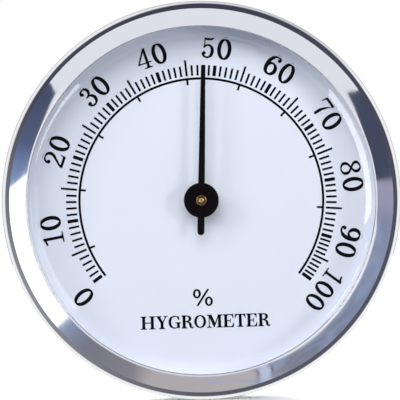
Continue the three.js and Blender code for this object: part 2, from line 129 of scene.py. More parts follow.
def rounded(corners, degrees_per_step=15):
    """The corners as plain points, where each one with a third value becomes an arc of that radius."""
    points = []
    for i, corner in enumerate(corners):
        here = Vector(corner[:2])
        if len(corner) < 3:
            points.append(tuple(here))
            continue
        back = (Vector(corners[i - 1][:2]) - here).normalized()
        ahead = (Vector(corners[(i + 1) % len(corners)][:2]) - here).normalized()
        half = back.angle(ahead) / 2
        centre = here + (back + ahead).normalized() * corner[2] / math.sin(half)
        start = here + back * corner[2] / math.tan(half) - centre
        sweep = math.pi - 2 * half
        if start.x * ahead.y - start.y * ahead.x < 0:
            sweep = -sweep
        steps = max(2, math.ceil(abs(math.degrees(sweep)) / degrees_per_step))
        for step in range(steps + 1):
            points.append(tuple(centre + Matrix.Rotation(sweep * step / steps, 2) @ start))
    return points


def curve_through(points, closed=False, steps=6):
    """Points along the smooth curve through the given ones."""
    p = [Vector(point) for point in points]
    p = [p[-1], *p, p[0], p[1]] if closed else [2 * p[0] - p[1], *p, 2 * p[-1] - p[-2]]
    line = []
    for a, b, c, d in zip(p, p[1:], p[2:], p[3:]):
        bend = a - 2.5 * b + 2 * c - d / 2
        twist = (3 * b - a - 3 * c + d) / 2
        for step in range(steps):
            t = step / steps
            line.append(b + (c - a) * t / 2 + bend * t**2 + twist * t**3)
    return line if closed else [*line, p[-2]]


# ---- Meshes


def add_mesh(name, bm, smooth_below=32):
    """A piece made of the bmesh, in metres, with edges sharper than the given angle left crisp."""
    bmesh.ops.remove_doubles(bm, verts=bm.verts, dist=1e-4)
    bmesh.ops.recalc_face_normals(bm, faces=bm.faces)
    if bm.calc_volume(signed=True) < 0:
        bmesh.ops.reverse_faces(bm, faces=bm.faces)
    bmesh.ops.scale(bm, vec=(MM, MM, MM), verts=bm.verts)
    mesh = bpy.data.meshes.new(name)
    bm.to_mesh(mesh)
    bm.free()
    mesh.shade_smooth()
    mesh.set_sharp_from_angle(angle=math.radians(smooth_below))
    piece = bpy.data.objects.new(name, mesh)
    bpy.context.scene.collection.objects.link(piece)
    return piece


def turned(name, corners, facets=128, centre=(0, 0), smooth_below=32):
    """A closed surface turned about the dial's axis, or about a parallel one through centre."""
    bm = bmesh.new()
    rings = []
    on_axis = 1e-6
    for radius, y in rounded(corners):
        count = facets if radius > on_axis else 1
        spots = [clock(360 * i / facets, radius) for i in range(count)]
        rings.append([bm.verts.new((centre[0] + x, y, centre[1] + z)) for x, z in spots])
    solid = len(rings[0]) == 1 and len(rings[-1]) == 1
    followers = rings[1:] if solid else [*rings[1:], rings[0]]
    for near, far in zip(rings, followers):
        for i in range(facets):
            j = (i + 1) % facets
            loop = [near[i % len(near)], near[j % len(near)], far[j % len(far)], far[i % len(far)]]
            corners_used = list(dict.fromkeys(loop))
            if len(corners_used) > 2:
                bm.faces.new(corners_used)
    return add_mesh(name, bm, smooth_below)


def signed_area(loop):
    return sum(a[0] * b[1] - b[0] * a[1] for a, b in zip(loop, [*loop[1:], loop[0]])) / 2


def hull(points):
    return [points[i] for i in geometry.convex_hull_2d(points)]


def inside(point, loop):
    """Whether a flat point lies inside a closed outline."""
    odd = False
    for a, b in zip(loop, [*loop[1:], loop[0]]):
        if (a[1] > point[1]) != (b[1] > point[1]):
            if point[0] < a[0] + (b[0] - a[0]) * (point[1] - a[1]) / (b[1] - a[1]):
                odd = not odd
    return odd


def filled(loops, holes=(), lines=()):
    """Points and triangles that fill the union of the loops, less the holes; lines are kept as edges."""
    points = []
    faces = []
    edges = []
    for loop in loops:
        turned_left = loop if signed_area(loop) > 0 else loop[::-1]
        faces.append(list(range(len(points), len(points) + len(loop))))
        points.extend(Vector(p[:2]) for p in turned_left)
    for line in [*([*hole, hole[0]] for hole in holes), *lines]:
        first = len(points)
        points.extend(Vector(p[:2]) for p in line)
        edges.extend((first + i, first + i + 1) for i in range(len(line) - 1))
    spots, _, triangles, _, _, sources = geometry.delaunay_2d_cdt(points, edges, faces, 1, 1e-4)
    kept = []
    for triangle, source in zip(triangles, sources):
        if not source:
            continue
        middle = sum((spots[i] for i in triangle), Vector((0, 0))) / len(triangle)
        if not any(inside(middle, hole) for hole in holes):
            kept.append(triangle)
    return spots, kept


def slab(spots, faces, front, back, joined_flat=False):
    """A bmesh of the flat faces, thickened from front to back."""
    bm = bmesh.new()
    used = sorted({i for face in faces for i in face})
    verts = {i: bm.verts.new((spots[i].x, front, spots[i].y)) for i in used}
    for face in faces:
        bm.faces.new([verts[i] for i in face])
    if joined_flat:
        bmesh.ops.dissolve_limit(bm, angle_limit=math.radians(1), verts=bm.verts, edges=bm.edges)
    pushed = bmesh.ops.extrude_face_region(bm, geom=bm.faces[:], use_keep_orig=True)["geom"]
    moved = [v for v in pushed if isinstance(v, bmesh.types.BMVert)]
    bmesh.ops.translate(bm, vec=(0, back - front, 0), verts=moved)
    bmesh.ops.recalc_face_normals(bm, faces=bm.faces)
    return bm


def bevel_sharp(bm, width, sharper_than=40, segments=2):
    """Breaks every edge that turns by more than the angle."""
    limit = math.radians(sharper_than)
    edges = [e for e in bm.edges if len(e.link_faces) == 2 and e.calc_face_angle(0) > limit]
    bmesh.ops.bevel(
        bm, geom=edges, offset=width, offset_type="OFFSET", segments=segments, profile=0.5, affect="EDGES",
        clamp_overlap=True,
    )


def flat_piece(name, outline, front, back, holes=(), edge=0.06):
    """A sheet piece with broken edges."""
    bm = slab(*filled([outline], holes), front, back, joined_flat=True)
    bevel_sharp(bm, edge)
    return add_mesh(name, bm)


def carved(piece, cutters, edge=0.0, operation="DIFFERENCE"):
    """Cuts or joins other closed pieces, which are used up, and breaks the new edges."""
    for cutter in cutters:
        modifier = piece.modifiers.new("carve", "BOOLEAN")
        modifier.operation = operation
        modifier.solver = "MANIFOLD"
        modifier.object = cutter
    weld = 2e-3
    flat = math.radians(0.3)
    shaped = piece.evaluated_get(bpy.context.evaluated_depsgraph_get())
    result = bpy.data.meshes.new_from_object(shaped)
    piece.modifiers.clear()
    for cutter in cutters:
        bpy.data.objects.remove(cutter)
    bm = bmesh.new()
    bm.from_mesh(result)
    bmesh.ops.scale(bm, vec=(1 / MM, 1 / MM, 1 / MM), verts=bm.verts)
    bmesh.ops.remove_doubles(bm, verts=bm.verts, dist=weld)
    bmesh.ops.dissolve_limit(bm, angle_limit=flat, verts=bm.verts, edges=bm.edges)
    if edge:
        bevel_sharp(bm, edge)
    bmesh.ops.triangulate(bm, faces=[f for f in bm.faces if len(f.verts) > 4])
    name = piece.name
    bpy.data.objects.remove(piece)
    return add_mesh(name, bm)


def rod(radius, front, back, centre=(0, 0), facets=48):
    return turned("rod", [(0, front), (radius, front), (radius, back), (0, back)], facets, centre)


def block(width, height, front, back):
    outline = bar(-width / 2, width / 2, -height / 2, height / 2)
    return add_mesh("block", slab(*filled(outline), front, back))


# ---- Node trees


class Value:
    """A number in a node tree. Arithmetic on it adds Math nodes."""

    def __init__(self, tree, source):
        self.tree = tree
        self.source = source

    def feed(self, socket):
        if isinstance(self.source, bpy.types.NodeSocket):
            self.tree.links.new(self.source, socket)
        else:
            socket.default_value = self.source

    def math(self, operation, *others):
        node = self.tree.nodes.new("ShaderNodeMath")
        node.operation = operation
        for socket, value in zip(node.inputs, (self, *others)):
            (value if isinstance(value, Value) else Value(self.tree, value)).feed(socket)
        return Value(self.tree, node.outputs[0])

    def __add__(self, other):
        return self.math("ADD", other)

    def __sub__(self, other):
        return self.math("SUBTRACT", other)

    def __mul__(self, other):
        return self.math("MULTIPLY", other)

    def larger(self, other):
        return self.math("MAXIMUM", other)

    def smaller(self, other):
        return self.math("MINIMUM", other)

    def mapped(self, low, high, to_low=0.0, to_high=1.0, curve="SMOOTHSTEP"):
        """From low to high it goes smoothly from to_low to to_high, and stays there outside."""
        node = self.tree.nodes.new("ShaderNodeMapRange")
        node.interpolation_type = curve
        self.feed(node.inputs["Value"])
        for name, number in (("From Min", low), ("From Max", high), ("To Min", to_low), ("To Max", to_high)):
            node.inputs[name].default_value = number
        return Value(self.tree, node.outputs["Result"])


def srgb(*channels):
    """A linear colour from red, green and blue between 0 and 255."""
    scaled = [c / 255 for c in channels]
    return (*((c / 12.92 if c <= 0.04045 else ((c + 0.055) / 1.055) ** 2.4) for c in scaled), 1.0)


def ramp(value, stops):
    """The colour at a value from 0 to 1, between (position, colour) stops."""
    node = value.tree.nodes.new("ShaderNodeValToRGB")
    elements = node.color_ramp.elements
    while len(elements) < len(stops):
        elements.new(0.5)
    for element, (position, colour) in zip(elements, stops):
        element.position = position
        element.color = colour
    value.feed(node.inputs["Fac"])
    return node.outputs["Color"]


def mixed(tree, factor, first, second):
    """first where the factor is 0 and second where it is 1."""
    node = tree.nodes.new("ShaderNodeMix")
    node.data_type = "RGBA"
    factor.feed(node.inputs["Factor"])
    for name, colour in (("A", first), ("B", second)):
        socket = next(s for s in node.inputs if s.name == name and s.type == "RGBA")
        if isinstance(colour, bpy.types.NodeSocket):
            tree.links.new(colour, socket)
        else:
            socket.default_value = colour
    return next(s for s in node.outputs if s.type == "RGBA")


class Surface:
    """A Principled material with textures that are sized in millimetres on the object."""

    def __init__(self, name, colour, roughness, metallic=0.0, **sockets):
        self.material = bpy.data.materials.new(name)
        self.material.use_nodes = True
        self.tree = self.material.node_tree
        self.shader = self.tree.nodes["Principled BSDF"]
        self.shader.inputs["Base Color"].default_value = colour
        self.shader.inputs["Roughness"].default_value = roughness
        self.shader.inputs["Metallic"].default_value = metallic
        for socket, value in sockets.items():
            self.shader.inputs[socket.replace("_", " ")].default_value = value
        place = self.tree.nodes.new("ShaderNodeTexCoord").outputs["Object"]
        scaled = self.tree.nodes.new("ShaderNodeVectorMath")
        scaled.operation = "SCALE"
        scaled.inputs["Scale"].default_value = 1 / MM
        self.tree.links.new(place, scaled.inputs[0])
        self.place = scaled.outputs[0]

    def axes(self):
        split = self.tree.nodes.new("ShaderNodeSeparateXYZ")
        self.tree.links.new(self.place, split.inputs[0])
        return [Value(self.tree, output) for output in split.outputs]

    def around(self, stretch):
        """Coordinates that follow the turning: distance from the axis, depth, and the angle drawn out."""
        x, y, z = self.axes()
        radius = (x * x + z * z).math("SQRT")
        angle = x.math("ARCTAN2", z) * stretch
        joined = self.tree.nodes.new("ShaderNodeCombineXYZ")
        for value, socket in zip((radius, y, angle), joined.inputs):
            value.feed(socket)
        return joined.outputs[0]

    def noise(self, size, detail=3.0, place=None, roughness=0.55):
        """Noise from 0 to 1 with features of about the given size."""
        node = self.tree.nodes.new("ShaderNodeTexNoise")
        node.inputs["Scale"].default_value = 1 / size
        node.inputs["Detail"].default_value = detail
        node.inputs["Roughness"].default_value = roughness
        self.tree.links.new(place or self.place, node.inputs["Vector"])
        return Value(self.tree, node.outputs["Fac"])

    def vary_colour(self, factor, first, second):
        self.tree.links.new(mixed(self.tree, factor, first, second), self.shader.inputs["Base Color"])

    def vary_roughness(self, value, low, high):
        value.mapped(0.3, 0.7, low, high).feed(self.shader.inputs["Roughness"])

    def bump(self, height, depth):
        """Raises the surface by the height, from 0 to 1, times a depth in millimetres."""
        node = self.tree.nodes.new("ShaderNodeBump")
        node.inputs["Distance"].default_value = depth * MM
        height.feed(node.inputs["Height"])
        self.tree.links.new(node.outputs["Normal"], self.shader.inputs["Normal"])


# ---- Materials


def chrome():
    """Bright plated steel: nearly a mirror, with the faint waves of pressed sheet and polishing haze."""
    surface = Surface("polished_chrome", (0.86, 0.865, 0.88, 1), 0.05, 1.0)
    surface.vary_roughness(surface.noise(1.5, 4, surface.around(3.0)), 0.035, 0.075)
    surface.vary_colour(surface.noise(6.0, 2), (0.85, 0.855, 0.875, 1), (0.88, 0.88, 0.89, 1))
    surface.bump(surface.noise(5.0, 1), 0.0035)
    return surface.material


def clear_acrylic():
    surface = Surface("clear_acrylic", (1, 1, 1, 1), 0.0, IOR=1.49, Transmission_Weight=1.0)
    return surface.material


def dial_paint():
    """Satin white stoving enamel, a little blue, with a fine orange peel."""
    surface = Surface("dial_enamel", (0.8, 0.84, 0.93, 1), 0.5, Specular_IOR_Level=0.3)
    surface.vary_colour(surface.noise(3.5, 4), (0.775, 0.822, 0.925, 1), (0.8, 0.838, 0.93, 1))
    surface.vary_roughness(surface.noise(0.8), 0.45, 0.58)
    surface.bump(surface.noise(0.35, 2), 0.004)
    return surface.material


def printing_ink():
    """Screen-printed black with a slightly uneven film."""
    surface = Surface("dial_ink", (0.0012, 0.0014, 0.003, 1), 0.6, Specular_IOR_Level=0.08)
    surface.vary_colour(surface.noise(0.5), (0.0008, 0.001, 0.0022, 1), (0.002, 0.0024, 0.0045, 1))
    surface.vary_roughness(surface.noise(0.3), 0.5, 0.7)
    surface.bump(surface.noise(0.12, 2), 0.003)
    return surface.material


def pointer_paint():
    """Thin black lacquer on stamped sheet, a touch brown where it is thin."""
    surface = Surface("pointer_lacquer", (0.0014, 0.001, 0.0012, 1), 0.3, Specular_IOR_Level=0.1)
    surface.vary_colour(surface.noise(1.2, 4), (0.001, 0.0006, 0.001, 1), (0.003, 0.0016, 0.002, 1))
    surface.vary_roughness(surface.noise(0.5), 0.26, 0.4)
    surface.bump(surface.noise(0.4, 2), 0.003)
    return surface.material


def turned_brass():
    surface = Surface("turned_brass", (0.72, 0.51, 0.24, 1), 0.2, 1.0)
    rings = surface.noise(0.12, 3, surface.around(0.4))
    surface.vary_colour(surface.noise(1.4, 4), (0.76, 0.54, 0.26, 1), (0.55, 0.36, 0.15, 1))
    surface.vary_roughness(rings, 0.1, 0.25)
    surface.bump(rings, 0.006)
    return surface.material


def plated_steel():
    surface = Surface("plated_steel", (0.56, 0.565, 0.575, 1), 0.32, 1.0)
    grain = surface.noise(0.2, 4)
    surface.vary_colour(surface.noise(4.0, 3), (0.58, 0.585, 0.60, 1), (0.50, 0.50, 0.505, 1))
    surface.vary_roughness(grain, 0.24, 0.42)
    surface.bump(grain, 0.004)
    return surface.material


def moulded_black():
    """Black moulded plastic with a fine spark-eroded grain."""
    surface = Surface("moulded_black", (0.020, 0.020, 0.022, 1), 0.5)
    surface.vary_colour(surface.noise(7.0, 4), (0.017, 0.017, 0.019, 1), (0.028, 0.028, 0.030, 1))
    surface.vary_roughness(surface.noise(1.5), 0.42, 0.6)
    surface.bump(surface.noise(0.22, 3, roughness=0.6), 0.03)
    return surface.material


def soft_rubber():
    """Dark rubber with a dusty bloom in patches."""
    surface = Surface("soft_rubber", (0.028, 0.028, 0.031, 1), 0.8)
    bloom = surface.noise(2.5, 5)
    surface.vary_colour(bloom, (0.022, 0.022, 0.025, 1), (0.048, 0.047, 0.048, 1))
    surface.vary_roughness(bloom, 0.7, 0.9)
    surface.bump(surface.noise(0.3, 3), 0.02)
    return surface.material


def white_plastic():
    surface = Surface(
        "white_plastic", (0.80, 0.82, 0.87, 1), 0.45, Subsurface_Weight=0.1, Subsurface_Scale=MM
    )
    surface.vary_colour(surface.noise(3.0, 3), (0.79, 0.815, 0.87, 1), (0.83, 0.84, 0.88, 1))
    surface.vary_roughness(surface.noise(0.7), 0.4, 0.52)
    surface.bump(surface.noise(0.25, 2), 0.006)
    return surface.material


def coil_foil():
    """Thin metal strip with a coating that takes up moisture."""
    surface = Surface("coated_foil", (0.50, 0.45, 0.36, 1), 0.45, 0.7)
    surface.vary_colour(surface.noise(0.6, 4), (0.54, 0.49, 0.40, 1), (0.40, 0.34, 0.25, 1))
    surface.vary_roughness(surface.noise(0.4), 0.35, 0.6)
    surface.bump(surface.noise(0.2, 3), 0.01)
    return surface.material


def pale_floor():
    surface = Surface("studio_floor", (0.9, 0.9, 0.9, 1), 0.9, Specular_IOR_Level=0.0)
    surface.vary_colour(surface.noise(60.0), (0.89, 0.89, 0.89, 1), (0.91, 0.91, 0.91, 1))
    return surface.material


FINISHES = {
    "chrome": chrome(),
    "lens_clear": clear_acrylic(),
    "dark_rubber": soft_rubber(),
    "white_plastic": white_plastic(),
    "dial_white": dial_paint(),
    "case_black": moulded_black(),
    "brass": turned_brass(),
    "steel": plated_steel(),
    "black_paint": pointer_paint(),
    "coil_strip": coil_foil(),
}
INK = printing_ink()


def stand_for(piece, node, rides=True):
    """The piece takes the place, the body and the finish of a CAD node."""
    if rides:
        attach(piece, BODY_OF[node])
    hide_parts(node)
    piece.data.materials.clear()
    piece.data.materials.append(FINISHES[SLOT_OF[node]])
    return piece


# ---- Rim, window and dial

SHEET = 0.6
BAND_INNER_RADIUS = 31.46
BAND_OUTER_RADIUS = 34.55
BAND_INNER_TILT = 12.3
BAND_OUTER_TILT = 17.5
CORNER_TILT = 27
LIP_ROLL = 0.16
HEM_INNER_RADIUS = 30.7
LENS_THICKNESS = 1.6
DOME_RADIUS = 29.5
DOME_INNER_RADIUS = 29.3
DOME_RISE = 0.9
CHAMFER_OUTER_RADIUS = 31.6
CHAMFER_INNER_TILT = 20
CHAMFER_OUTER_TILT = 24

# Folds of the rim and the window that turn by more than this stay crisp, in degrees.
CREASE = 8


def arc_between(inner_radius, outer_radius, inner_tilt, outer_tilt, y, steps):
    """An arc that starts at (inner_radius, y) and turns from one tilt to the other by outer_radius."""
    start = math.sin(math.radians(inner_tilt))
    end = math.sin(math.radians(outer_tilt))
    radius = (outer_radius - inner_radius) / (end - start)
    centre = (inner_radius - radius * start, y + radius * math.cos(math.radians(inner_tilt)))
    return arc(centre, radius, inner_tilt, outer_tilt, steps)


def bezel():
    rim = reach("bezel")
    lip_tilt = math.radians(BAND_INNER_TILT)
    lip_centre = (BAND_INNER_RADIUS - LIP_ROLL * math.sin(lip_tilt), rim.front + LIP_ROLL)
    lip = arc(lip_centre, LIP_ROLL, -90, BAND_INNER_TILT, 20)
    band = arc_between(BAND_INNER_RADIUS, BAND_OUTER_RADIUS, BAND_INNER_TILT, BAND_OUTER_TILT, lip[-1][1], 8)
    corner = arc_between(BAND_OUTER_RADIUS, rim.right, CORNER_TILT, 90, band[-1][1], 20)
    side_radius = rim.right - SHEET
    depth = corner[-1][1]
    outline = [
        *lip,
        *band[1:],
        *corner[1:],
        *arc((side_radius, rim.back - SHEET), SHEET, 90, 180, 16),
        (HEM_INNER_RADIUS, rim.back, 0.2), (HEM_INNER_RADIUS, rim.back - SHEET, 0.2),
        (side_radius, rim.back - SHEET), (side_radius, depth, 1.2),
        (BAND_OUTER_RADIUS - 0.1, band[-1][1] + SHEET + 0.05, 0.8),
        (lip_centre[0] + 0.5, lip_centre[1] + 0.52),
        (lip_centre[0] - LIP_ROLL, lip_centre[1] + 0.32, 0.1),
    ]
    return stand_for(turned("bezel_pressing", outline, 256, smooth_below=CREASE), "bezel")


def lens():
    flange = reach("spacer_ring").front
    apex = reach("lens").front
    outer = reach("lens").right
    fold = 0.04
    drop = 0.01
    sphere = (DOME_RADIUS**2 + DOME_RISE**2) / (2 * DOME_RISE)
    edge_tilt = math.degrees(math.asin(DOME_RADIUS / sphere))
    dome = arc((0, apex + sphere), sphere, 0, edge_tilt - 0.02, 18)
    inner_sphere = sphere - LENS_THICKNESS
    under_tilt = math.degrees(math.asin(DOME_INNER_RADIUS / inner_sphere))
    under = arc((0, apex + sphere), inner_sphere, 0, under_tilt, 12)
    tilts = (CHAMFER_INNER_TILT, CHAMFER_OUTER_TILT)
    chamfer = arc_between(DOME_RADIUS + fold, CHAMFER_OUTER_RADIUS, *tilts, dome[-1][1] + drop, 8)
    under_chamfer = arc_between(
        under[-1][0] + fold, CHAMFER_OUTER_RADIUS - 0.3, *tilts, under[-1][1] + drop, 6
    )
    outline = [
        *dome,
        *chamfer,
        (CHAMFER_OUTER_RADIUS + 0.8, reach("lens_gasket").back, 0.2),
        (outer, reach("lens_gasket").back, 0.15), (outer, flange, 0.15),
        (under_chamfer[-1][0] + 0.45, flange, 0.1),
        *under_chamfer[::-1],
        *under[::-1],
    ]
    piece = stand_for(turned("lens_moulding", outline, 256, smooth_below=CREASE), "lens")
    piece.visible_shadow = False
    piece.visible_diffuse = False
    piece.visible_glossy = False
    return piece


def gasket():
    ring = reach("lens_gasket")
    inner = 32.95
    edge = 0.08
    top = ring.front + 0.02
    slope = 15
    fall = (ring.right - inner) * math.tan(math.radians(slope))
    outline = [
        (inner, ring.back, edge), (inner, top, edge),
        (ring.right, top + fall, edge), (ring.right, ring.back, edge),
    ]
    return stand_for(turned("gasket_ring", outline, 128), "lens_gasket")


def spacer():
    ring = reach("spacer_ring")
    inner = 31.7
    outline = [
        (inner, ring.front, 0.25), (ring.right, ring.front, 0.25), (ring.right, ring.back, 0.15),
        (inner, ring.back, 0.05),
    ]
    return stand_for(turned("spacer_moulding", outline, 192), "spacer_ring")


def dial():
    plate = reach("dial_plate")
    hole = 1.6
    edge = 0.08
    outline = [
        (hole, plate.front, edge), (plate.right, plate.front, edge),
        (plate.right, plate.back), (hole, plate.back),
    ]
    return stand_for(turned("dial_disc", outline, 192), "dial_plate")


# ---- The print: shapes of ink in millimetres, or in units of a letter's height before they are placed

FINE_NIB = (0.053, 0.047)
DIGIT_NIB = (0.09, 0.046)
LETTER_NIB = (0.1, 0.044)


def pen(points, nib, closed=False, steps=6):
    """What an elliptical nib of these half sizes draws along the smooth curve through the points."""
    line = curve_through(points, closed, steps) if len(points) > 2 else [Vector(p) for p in points]
    sides = []
    for i, here in enumerate(line):
        before = line[i - 1] if i or closed else here
        after = line[(i + 1) % len(line)] if i + 1 < len(line) or closed else here
        along = (after - before).normalized()
        across = Vector((-along.y * nib[0] ** 2, along.x * nib[1] ** 2))
        reached = math.hypot(along.y * nib[0], along.x * nib[1])
        sides.append((here + across / reached, here - across / reached))
    followers = [*sides[1:], sides[0]] if closed else sides[1:]
    loops = [hull([*a, *b]) for a, b in zip(sides, followers)]
    if not closed:
        loops += [ellipse(line[0], nib), ellipse(line[-1], nib)]
    return loops


def oval(centre, across, up, nib):
    """A ring drawn with the nib round an oval of these half sizes."""
    return pen(ellipse(centre, (across, up)), nib, closed=True, steps=4)


def ball(x, z, radius):
    return [circle(radius, (x, z), 20)]


def serif_stem(left, right, bottom=0.0, top=1.0, feet=(None, None), thick=0.075, bracket=0.05):
    """A stem with flat serifs: feet are (left, right) ends of the foot's and the head's serif, or None."""
    loops = bar(left, right, bottom, top)
    for span, level, up in zip(feet, (bottom, top), (1, -1)):
        if span is None:
            continue
        low, high = sorted((level, level + up * thick))
        loops += bar(span[0], span[1], low, high)
        shoulder = level + up * thick
        for side, edge in ((-1, left), (1, right)):
            loops.append(
                [(edge, shoulder + up * bracket), (edge, shoulder), (edge + side * bracket, shoulder)]
            )
    return loops


SIX = (
    ball(0.55, 0.83, 0.085)
    + pen([(0.60, 0.86), (0.55, 0.94), (0.42, 0.965), (0.24, 0.88), (0.14, 0.70)], FINE_NIB)
    + pen([(0.24, 0.88), (0.125, 0.66), (0.10, 0.40), (0.17, 0.13), (0.34, 0.035)], DIGIT_NIB)
    + oval((0.345, 0.31), 0.235, 0.275, DIGIT_NIB)
)

DIGITS = {
    "0": (0.68, oval((0.34, 0.5), 0.25, 0.466, DIGIT_NIB)),
    "1": (
        0.56,
        serif_stem(0.205, 0.345, feet=((0.01, 0.54), None), thick=0.065)
        + pen([(0.03, 0.84), (0.13, 0.865), (0.21, 0.90), (0.30, 0.965)], FINE_NIB),
    ),
    "2": (
        0.63,
        ball(0.125, 0.715, 0.085)
        + pen([(0.065, 0.70), (0.09, 0.85), (0.20, 0.945), (0.33, 0.965), (0.44, 0.92)], FINE_NIB)
        + pen([(0.33, 0.962), (0.47, 0.88), (0.52, 0.73), (0.46, 0.56), (0.33, 0.42)], (0.075, 0.036))
        + pen([(0.46, 0.56), (0.28, 0.36), (0.13, 0.20), (0.06, 0.07)], FINE_NIB)
        + [[(0.02, 0), (0.58, 0), (0.62, 0.26), (0.575, 0.26), (0.53, 0.14), (0.45, 0.125), (0.05, 0.125)]],
    ),
    "3": (
        0.60,
        ball(0.125, 0.78, 0.08)
        + ball(0.115, 0.225, 0.085)
        + pen([(0.065, 0.80), (0.11, 0.90), (0.25, 0.965), (0.36, 0.94)], FINE_NIB)
        + pen([(0.25, 0.963), (0.40, 0.90), (0.44, 0.76), (0.39, 0.61), (0.24, 0.535)], (0.07, 0.034))
        + pen([(0.22, 0.535), (0.41, 0.49), (0.50, 0.29), (0.42, 0.10), (0.26, 0.036)], (0.078, 0.036))
        + pen([(0.30, 0.036), (0.17, 0.06), (0.08, 0.14), (0.05, 0.23)], FINE_NIB),
    ),
    "4": (
        0.67,
        [[(0.405, 0.0), (0.535, 0.0), (0.535, 0.99), (0.455, 0.99), (0.405, 0.86)]]
        + pen([(0.465, 0.96), (0.045, 0.285)], (0.042, 0.036))
        + bar(0.0, 0.665, 0.245, 0.31)
        + serif_stem(0.405, 0.535, 0.0, 0.3, feet=((0.27, 0.655), None), thick=0.06, bracket=0.04),
    ),
    "5": (
        0.61,
        [[(0.08, 0.985), (0.20, 0.965), (0.34, 0.965), (0.56, 1.0), (0.49, 0.9), (0.36, 0.855), (0.1, 0.86)]]
        + bar(0.08, 0.135, 0.50, 0.98)
        + pen([(0.10, 0.52), (0.18, 0.60), (0.30, 0.63), (0.40, 0.605)], FINE_NIB)
        + pen([(0.30, 0.628), (0.45, 0.55), (0.505, 0.34), (0.43, 0.11), (0.27, 0.036)], (0.08, 0.036))
        + pen([(0.32, 0.036), (0.18, 0.055), (0.09, 0.13), (0.06, 0.22)], FINE_NIB)
        + ball(0.12, 0.235, 0.085),
    ),
    "6": (0.68, SIX),
    "7": (
        0.64,
        bar(0.04, 0.61, 0.865, 0.985)
        + [[(0.0, 0.66), (0.05, 0.66), (0.075, 0.80), (0.13, 0.865), (0.13, 0.985), (0.04, 0.985)]]
        + [[
            (0.61, 0.985), (0.48, 0.67), (0.405, 0.40), (0.385, 0.07),
            (0.25, 0.07), (0.255, 0.35), (0.36, 0.61), (0.54, 0.88),
        ]]
        + ball(0.318, 0.075, 0.075),
    ),
    "8": (
        0.67,
        pen(
            [
                (0.335, 0.965), (0.13, 0.86), (0.12, 0.70), (0.25, 0.585), (0.40, 0.49),
                (0.555, 0.36), (0.55, 0.14), (0.335, 0.035), (0.12, 0.14), (0.11, 0.33),
                (0.24, 0.46), (0.38, 0.555), (0.52, 0.68), (0.51, 0.87),
            ],
            (0.072, 0.034), closed=True,
        ),
    ),
    "9": (0.68, [[(0.68 - x, 1 - z) for x, z in loop] for loop in SIX]),
}

LETTERS = {
    "H": (
        1.12,
        serif_stem(0.12, 0.345, feet=((0, 0.465), (0, 0.465)))
        + serif_stem(0.775, 1.0, feet=((0.655, 1.12), (0.655, 1.12)))
        + bar(0.3, 0.82, 0.455, 0.535),
    ),
    "Y": (
        0.91,
        [[(0.07, 0.96), (0.32, 0.96), (0.58, 0.46), (0.58, 0.36), (0.36, 0.36), (0.36, 0.44)]]
        + pen([(0.76, 0.95), (0.52, 0.46)], (0.045, 0.03))
        + serif_stem(0.36, 0.58, 0.0, 0.47, feet=((0.23, 0.71), None))
        + bar(0.0, 0.43, 0.925, 1.0)
        + bar(0.59, 0.91, 0.925, 1.0),
    ),
    "G": (
        0.95,
        pen([(0.79, 0.72), (0.70, 0.89), (0.49, 0.955), (0.30, 0.90)], (0.05, 0.045))
        + pen([(0.49, 0.955), (0.22, 0.84), (0.115, 0.50), (0.22, 0.16), (0.48, 0.045)], LETTER_NIB)
        + pen([(0.46, 0.045), (0.64, 0.08), (0.76, 0.18)], (0.05, 0.045))
        + serif_stem(0.66, 0.87, 0.05, 0.49, feet=(None, (0.52, 0.95)))
        + bar(0.785, 0.84, 0.64, 0.985),
    ),
    "R": (
        0.93,
        serif_stem(0.10, 0.325, feet=((0, 0.45), (0, 0.3)))
        + bar(0.2, 0.46, 0.925, 1.0)
        + pen([(0.42, 0.955), (0.60, 0.90), (0.665, 0.75), (0.60, 0.59), (0.40, 0.525)], (0.1, 0.042))
        + bar(0.28, 0.50, 0.48, 0.555)
        + pen([(0.46, 0.50), (0.64, 0.41), (0.69, 0.22), (0.735, 0.09), (0.83, 0.04)], (0.095, 0.045))
        + pen([(0.78, 0.045), (0.87, 0.05), (0.91, 0.13)], (0.03, 0.03)),
    ),
    "O": (0.93, oval((0.465, 0.5), 0.355, 0.455, LETTER_NIB)),
    "M": (
        1.20,
        serif_stem(0.15, 0.225, feet=((0, 0.37), (0, 0.28)))
        + [[(0.13, 1.0), (0.37, 1.0), (0.66, 0.32), (0.57, 0.02), (0.53, 0.02), (0.15, 0.92)]]
        + pen([(0.90, 0.96), (0.565, 0.07)], (0.042, 0.03))
        + serif_stem(0.86, 1.085, feet=((0.745, 1.20), (0.87, 1.20))),
    ),
    "E": (
        0.86,
        serif_stem(0.10, 0.325, feet=((0, 0.36), (0, 0.36)))
        + bar(0.2, 0.80, 0.92, 1.0)
        + bar(0.2, 0.82, 0.0, 0.08)
        + bar(0.3, 0.55, 0.455, 0.535)
        + bar(0.52, 0.585, 0.33, 0.66)
        + [[(0.80, 0.96), (0.80, 0.68), (0.745, 0.68), (0.70, 0.84), (0.60, 0.93)]]
        + [[(0.84, 0.34), (0.82, 0.0), (0.60, 0.06), (0.72, 0.16), (0.785, 0.34)]],
    ),
    "T": (
        0.83,
        serif_stem(0.305, 0.525, feet=((0.18, 0.65), None))
        + bar(0.02, 0.81, 0.92, 1.0)
        + [[(0.0, 0.66), (0.055, 0.66), (0.10, 0.82), (0.22, 0.93), (0.02, 0.99)]]
        + [[(0.83, 0.66), (0.775, 0.66), (0.73, 0.82), (0.61, 0.93), (0.81, 0.99)]],
    ),
}

ARC_RADIUS = 22.05
ARC_WIDTH = 0.42
TICK_INNER = 22.58
TICK_OUTER = 24.5
FIVES_OUTER = 25.5
FIVES_MARK_INNER = 20.95
TICK_WIDTH = 0.38
TENS_WIDTH = 0.62
NUMERAL_BASELINE = 25.7
NUMERAL_HEIGHT = 3.79
NUMERAL_GAP = 0.12

